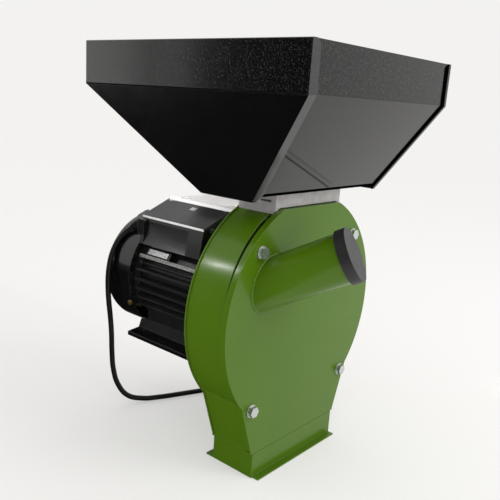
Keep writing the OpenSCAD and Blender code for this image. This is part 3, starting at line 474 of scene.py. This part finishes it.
def switch_chrome():
    base = (0.78, 0.79, 0.80)
    s = Shader("switch_chrome", base, 0.14, metal=1.0)
    s.mix_color(s.ramp(s.noise(240, 3), 0.5, 0.7), (0.60, 0.62, 0.63), 0.5)
    s.set_rough(s.noise(500, 2), 0.10, 0.24)
    return s.done()


MATERIALS = {f.__name__: f() for f in (
    green_enamel, black_enamel, motor_black, galvanised_sheet, zinc_steel, plain_steel, bright_steel,
    brass_plate, lamination_steel, copper_winding, silver_plate, fan_plastic, box_plastic, lid_grey,
    cap_plastic, seal_rubber, cord_rubber, capacitor_shell, switch_chrome)}
# Pieces whose paint differs from the rest of their slot. The foot's copy is darker as painted shade; the
# hopper panels' copies carry painted glints and painted shade.
OWN_PAINT = {
    "fan_cowl": cowl_gloss(),
    # painted shade: the foot's paint is a darker copy of the motor paint
    "motor_foot": motor_black("motor_black_foot_shaded", (0.0040, 0.0040, 0.0042)),
    # painted glints: more pale flecks on the left panel
    "hopper_left_panel": black_enamel("black_enamel_left", spec=0.85, glint_level=0.042),
    # painted shade on the right panel's flanges
    "hopper_right_panel": black_enamel("black_enamel_right", flange_shade_mask),
    # painted shade on the front panel's hem and low left lines, and more painted glints
    "hopper_front_panel": black_enamel("black_enamel_front", hem_shade_mask, spec=0.36, glint_level=0.060),
}
SLOT = {row["node"]: row["material_slot"] for row in frame["record"]["subparts"]}
BODY = {node: body for body, nodes in frame["record"]["behaviour"]["bodies"].items() for node in nodes}

# ---------------------------------------------------------------- pieces


def new_piece(name, mesh, body, slot):
    piece = bpy.data.objects.new(name, mesh)
    bpy.context.scene.collection.objects.link(piece)
    mesh.materials.clear()
    mesh.materials.append(MATERIALS[slot])
    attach(piece, body)
    return piece


def from_bmesh(name, bm, body, slot, smooth_angle=35):
    mesh = bpy.data.meshes.new(name)
    bm.to_mesh(mesh)
    bm.free()
    mesh.polygons.foreach_set("use_smooth", [True] * len(mesh.polygons))
    mesh.set_sharp_from_angle(angle=math.radians(smooth_angle))
    return new_piece(name, mesh, body, slot)


def on_fold(p):
    """Whether p lies on one of the four outer corner lines of the hopper."""
    near = 3e-4
    k = max(0.0, min(1.0, (RIM_Z - p.z) / (RIM_Z - LOW_Z)))
    half = RIM_X - (RIM_X - LOW_X) * k
    ends = [rim + (low - rim) * k for rim, low in zip(RIM_Y, LOW_Y)]
    return abs(abs(p.x) - half) < near and min(abs(p.y - y) for y in ends) < near


def softened(node, width, segments=2, angle=30, fold=None):
    """A copy of a CAD node with its sharp edges rounded to width; it stands for the node.
    With fold, the hopper's outer corners are first rounded to that larger radius."""
    bm = bmesh.new()
    bm.from_mesh(frame["nodes"][node].data)
    bmesh.ops.remove_doubles(bm, verts=bm.verts, dist=2e-6)
    if fold:
        outer = [e for e in bm.edges if all(on_fold(v.co) for v in e.verts)]
        bmesh.ops.bevel(bm, geom=outer, offset=fold, offset_type="OFFSET", segments=4, profile=0.5,
                        affect="EDGES", clamp_overlap=True)
    sharp = [e for e in bm.edges if len(e.link_faces) == 2 and e.calc_face_angle(0) > math.radians(angle)]
    bmesh.ops.bevel(bm, geom=sharp, offset=width, offset_type="OFFSET", segments=segments, profile=0.5,
                    affect="EDGES", clamp_overlap=True)
    low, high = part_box(node)
    for v in bm.verts:
        v.co = [max(low[k], min(high[k], v.co[k])) for k in range(3)]
    piece = from_bmesh(node + "_fine", bm, BODY[node], SLOT[node], smooth_angle=50)
    weigh = piece.modifiers.new("weigh", "WEIGHTED_NORMAL")
    weigh.keep_sharp = True
    weigh.weight = 80
    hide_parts(node)
    return piece


# ---------------------------------------------------------------- cord

CORD_D = 0.008
GLAND_AT = Vector((-0.048, 0.086, 0.177))
GLAND_DIR = Vector((-0.501, 0.581, -0.641))
GLAND_L = 0.026
# A hair over the floor, so that the curve doesn't dip below it before the coil's upper layer
CORD_Z = FLOOR_Z + CORD_D / 2 + 0.00006
CORD_EXIT = GLAND_AT + GLAND_L * GLAND_DIR
ROUTE = [
    CORD_EXIT, (-0.0675, 0.1075, 0.1525), (-0.075, 0.1115, 0.143), (-0.082, 0.113, 0.132),
    (-0.088, 0.113, 0.1195), (-0.093, 0.1115, 0.105), (-0.0965, 0.1095, 0.089), (-0.098, 0.1075, 0.071),
    (-0.0975, 0.106, 0.050), (-0.095, 0.105, 0.026), (-0.093, 0.104, 0.0), (-0.092, 0.103, -0.035),
    (-0.091, 0.100, -0.062), (-0.086, 0.094, -0.087), (-0.074, 0.085, -0.106),
    (-0.054, 0.073, CORD_Z + 0.0016), (-0.028, 0.060, CORD_Z + 0.0002), (-0.002, 0.049, CORD_Z),
    (0.020, 0.040, CORD_Z), (0.043, 0.031, CORD_Z), (0.063, 0.0255, CORD_Z)]
COIL_AT = Vector((0.088, -0.025, 0))
COIL_OUT = 0.048
COIL_IN = 0.040
PLUG_R = 0.0185
PLUG_AT = Vector((0.136, -0.048, FLOOR_Z + PLUG_R))


def step(x, low, high):
    """0 below low, 1 above high, and a smooth rise between them."""
    t = max(0.0, min(1.0, (x - low) / (high - low)))
    return t * t * (3 - 2 * t)


def coil_points():
    """Clockwise turns: outer, inner, then up a layer, inner, outer, and off towards the plug."""
    points = []
    turn_end = 3 * 360 + 90
    for angle in range(0, turn_end + 1, 18):
        radius = COIL_OUT - (COIL_OUT - COIL_IN) * (step(angle, 300, 360) - step(angle, 960, 1020))
        height = CORD_Z + CORD_D * step(angle, 596, 660)
        a = math.radians(90 - angle)
        points.append((COIL_AT.x + radius * math.cos(a), COIL_AT.y + radius * math.sin(a), height))
    return points


def make_cord():
    lead_in = [(0.0765, 0.0234, CORD_Z)]
    tail = [(PLUG_AT.x, PLUG_AT.y + 0.012, PLUG_AT.z - 0.0035), (PLUG_AT.x, PLUG_AT.y, PLUG_AT.z),
            (PLUG_AT.x, PLUG_AT.y - 0.010, PLUG_AT.z)]
    points = [tuple(p) for p in ROUTE] + lead_in + coil_points() + tail
    curve = bpy.data.curves.new("mains_cord", "CURVE")
    curve.dimensions = "3D"
    curve.bevel_depth = CORD_D / 2
    curve.bevel_resolution = 5
    curve.resolution_u = 8
    curve.use_fill_caps = True
    spline = curve.splines.new("BEZIER")
    spline.bezier_points.add(len(points) - 1)
    for knot, place in zip(spline.bezier_points, points):
        knot.co = place
        knot.handle_left_type = "AUTO"
        knot.handle_right_type = "AUTO"
    curve.materials.append(MATERIALS["cord_rubber"])
    cord = bpy.data.objects.new("mains_cord", curve)
    bpy.context.scene.collection.objects.link(cord)
    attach(cord, "root")
    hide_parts("cord", "cord_coil")
    return cord


def lathe(bm, profile, place, turn, sides=32):
    """Adds a closed turned solid: profile is (radius, height) pairs from one end to the other."""
    rings = []
    for radius, height in profile:
        ring = []
        for k in range(sides):
            a = 2 * math.pi * k / sides
            spot = Vector((radius * math.cos(a), radius * math.sin(a), height))
            ring.append(bm.verts.new(turn @ spot + place))
        rings.append(ring)
    for low, high in zip(rings, rings[1:]):
        for k in range(sides):
            m = (k + 1) % sides
            bm.faces.new((low[k], low[m], high[m], high[k]))
    bm.faces.new(list(reversed(rings[0])))
    bm.faces.new(rings[-1])


def make_plug():
    """A moulded plug that points to the front: a ribbed neck, a round body with grips, and two pins."""
    turn = Matrix.Rotation(math.radians(90), 3, "X")
    bm = bmesh.new()
    ribs = []
    for k in range(6):
        low = 0.010 + 0.0036 * k
        radius = 0.0052 + 0.00035 * k
        ribs += [(radius, low), (radius + 0.0006, low + 0.0005), (radius + 0.0006, low + 0.0018),
                 (radius, low + 0.0023)]
    body = [(0.0045, 0.008)] + ribs + [
        (0.0076, 0.0325), (0.0082, 0.034), (0.0122, 0.039), (0.0150, 0.0415), (0.0176, 0.0435),
        (0.0184, 0.046), (0.0184, 0.066), (0.0180, 0.0675), (0.0172, 0.068)]
    lathe(bm, body, PLUG_AT, turn, 40)
    grips = 10
    grip = [(0.0002, 0), (0.0003, 0.0005), (0.0003, 0.0135), (0.0002, 0.014)]
    for k in range(grips):
        a = 2 * math.pi * k / grips
        spot = Vector((0.0182 * math.cos(a), 0.0182 * math.sin(a), 0.049))
        lathe(bm, grip, PLUG_AT + turn @ spot, turn, 10)
    plug = from_bmesh("plug_body", bm, "root", "cord_rubber")
    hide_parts("plug")
    bm = bmesh.new()
    pin = [(0.0020, 0.066), (0.0020, 0.068), (0.0024, 0.0685), (0.0024, 0.0850), (0.0019, 0.0865),
           (0.0010, 0.087)]
    pin_spacing = 0.019
    for side in (-1, 1):
        lathe(bm, pin, PLUG_AT + turn @ Vector((side * pin_spacing / 2, 0, 0)), turn, 24)
    pins = from_bmesh("plug_pins", bm, "root", "bright_steel")
    return plug, pins


cord = make_cord()
plug, pins = make_plug()

# ---------------------------------------------------------------- small details


def weld_bead():
    """The bead where the feed tube meets the cover, with the ripples of a hand weld."""
    axis = Vector((math.sin(TUBE_TURN) * math.cos(TUBE_RISE), -math.cos(TUBE_TURN) * math.cos(TUBE_RISE),
                   math.sin(TUBE_RISE)))
    side = axis.cross(Vector((0, 0, 1))).normalized()
    lift = side.cross(axis)
    bm = bmesh.new()
    rings = []
    count, sides = 360, 10
    for k in range(count):
        a = 2 * math.pi * k / count
        out = math.cos(a) * side + math.sin(a) * lift
        reach = -(TUBE_R * out).y / axis.y
        centre = TUBE_AT + TUBE_R * out + reach * axis
        away = Vector((out.x, 0, out.z)).normalized()
        radius = 0.0016 + 0.00022 * math.sin(46 * a) + 0.00016 * math.sin(17 * a + 1.3)
        ring = []
        for m in range(sides):
            b = 2 * math.pi * m / sides
            around = 1.25 * math.cos(b) * away + math.sin(b) * Vector((0, -1, 0))
            ring.append(bm.verts.new(centre + radius * around))
        rings.append(ring)
    for k in range(count):
        one, two = rings[k], rings[(k + 1) % count]
        for m in range(sides):
            n = (m + 1) % sides
            bm.faces.new((one[m], one[n], two[n], two[m]))
    bmesh.ops.recalc_face_normals(bm, faces=bm.faces)
    return from_bmesh("tube_weld", bm, "root", "green_enamel", 80)


def in_box(x, y, z):
    """A point of the terminal box's own frame, in the shared frame."""
    c, s = math.cos(BOX_TILT), math.sin(BOX_TILT)
    return Vector((c * x + s * z, y, SHAFT_Z - s * x + c * z))


def lid_mark():
    """A small blank plate on the lid of the terminal box."""
    low, high = (0.0120, -0.002, 0.1137), (0.0195, 0.008, 0.1142)
    bm = bmesh.new()
    bmesh.ops.create_cube(bm, size=1)
    for v in bm.verts:
        v.co = in_box(*[low[k] if v.co[k] < 0 else high[k] for k in range(3)])
    bmesh.ops.bevel(bm, geom=bm.edges[:], offset=0.0002, offset_type="OFFSET", segments=2, profile=0.5,
                    affect="EDGES", clamp_overlap=True)
    return from_bmesh("lid_mark", bm, "root", "silver_plate", 50)


weld_bead()
lid_mark()

# ---------------------------------------------------------------- CAD nodes

# How far each node's sharp edges are rounded
EDGE = {
    "front_cover": 0.0013, "housing_back_plate": 0.0005, "housing_band": 0.0004, "outlet_front_strip": 0.0005,
    "feed_tube": 0.0003, "tube_cap": 0.0014, "cover_bolts": 0.0006, "cover_washers": 0.0003,
    "slide_gate": 0.0003, "neck_frame": 0.0003, "hopper_left_panel": 0.0004, "hopper_right_panel": 0.0004,
    "hopper_front_panel": 0.0004, "hopper_rear_panel": 0.0004, "hopper_floor": 0.0003,
    "motor_foot": 0.0010, "motor_frame": 0.0005, "fan_cowl": 0.0006, "terminal_box": 0.0010,
    "terminal_box_lid": 0.0008,
}
for node, thing in frame["nodes"].items():
    thing.data.materials.clear()
    thing.data.materials.append(MATERIALS[SLOT[node]])
FOLD = {"hopper_left_panel": 0.0022, "hopper_right_panel": 0.0022}
for node, width in EDGE.items():
    piece = softened(node, width, fold=FOLD.get(node))
    if node in OWN_PAINT:
        piece.data.materials[0] = OWN_PAINT[node]

# ---------------------------------------------------------------- stage


def area_light(name, place, target, size, power, spread=180):
    data = bpy.data.lights.new(name, "AREA")
    data.shape = "RECTANGLE"
    data.size, data.size_y = size
    data.energy = power
    data.spread = math.radians(spread)
    lamp = bpy.data.objects.new(name, data)
    bpy.context.scene.collection.objects.link(lamp)
    lamp.location = place
    aim = Vector(target) - Vector(place)
    lamp.rotation_euler = aim.to_track_quat("-Z", "Y").to_euler()


def card(name, corners, color, camera=True, glow=0.0):
    """A flat piece of the studio. With camera False it shows only in reflections."""
    bm = bmesh.new()
    for corner in corners:
        bm.verts.new(corner)
    bm.faces.new(bm.verts)
    mesh = bpy.data.meshes.new(name)
    bm.to_mesh(mesh)
    bm.free()
    s = Shader(name, color, 0.85, spec=0.1)
    s.mix_color(s.noise(1.5, 2), scaled(color, 1.02), 0.5)
    s.bsdf.inputs["Emission Color"].default_value = (1.0, 0.993, 0.98, 1)
    s.bsdf.inputs["Emission Strength"].default_value = glow
    mesh.materials.append(s.done())
    piece = bpy.data.objects.new(name, mesh)
    bpy.context.scene.collection.objects.link(piece)
    if not camera:
        piece.visible_camera = False
        piece.visible_diffuse = False
        piece.visible_shadow = False
    return piece


def make_stage():
    """A pale floor and sky, a large key light from the right, and two narrow lamps from the left rear:
    one on the gate plate, and one whose glint shows on the housing's band."""
    half = 12.0
    low = FLOOR_Z - 0.0002
    card("floor", [(x * half, y * half, low) for x, y in ((-1, -1), (1, -1), (1, 1), (-1, 1))],
         (0.53, 0.526, 0.52), glow=0.405)
    # black flags on the left and at the left rear, for the faces there to reflect
    black = (0.004, 0.004, 0.004)
    for name, (x0, y0), (x1, y1), high in (
            ("flag_wall", (-1.04, 0.82), (-1.7, -0.5), 1.8),
            ("flag_post", (-0.97, 0.96), (-1.00, 0.90), 1.8),
            ("flag_left", (-1.7, -0.5), (-1.5, -2.0), 1.8),
            ("flag_low", (-0.10, 1.9), (-0.95, 1.0), 0.16)):
        card(name, [(x0, y0, low), (x1, y1, low), (x1, y1, high), (x0, y0, high)], black, False)
    on_floor = ((0.10, -0.16), (0.10, 1.9), (-2.2, 1.9), (-2.2, -0.9), (-0.35, -0.35), (-0.12, -0.19))
    card("flag_floor", [(x, y, low + 0.001) for x, y in on_floor], black, False)
    world = bpy.data.worlds.new("world")
    bpy.context.scene.world = world
    world.use_nodes = True
    back = world.node_tree.nodes["Background"]
    back.inputs["Color"].default_value = (0.896, 0.888, 0.871, 1)
    back.inputs["Strength"].default_value = 1.0
    area_light("key", (0.6, -1.9, 1.5), (0, -0.1, 0.1), (1.2, 1.0), 16)
    area_light("left", (-1.0, 0.84, 0.95), (0.01, -0.07, 0.22), (0.05, 0.10), 0.08, spread=9)
    area_light("glint", (-0.936, 0.771, 0.854), (-0.135, -0.150, 0.168), (0.05, 0.22), 0.004, spread=5)
    bpy.context.scene.view_settings.view_transform = "Standard"


make_stage()
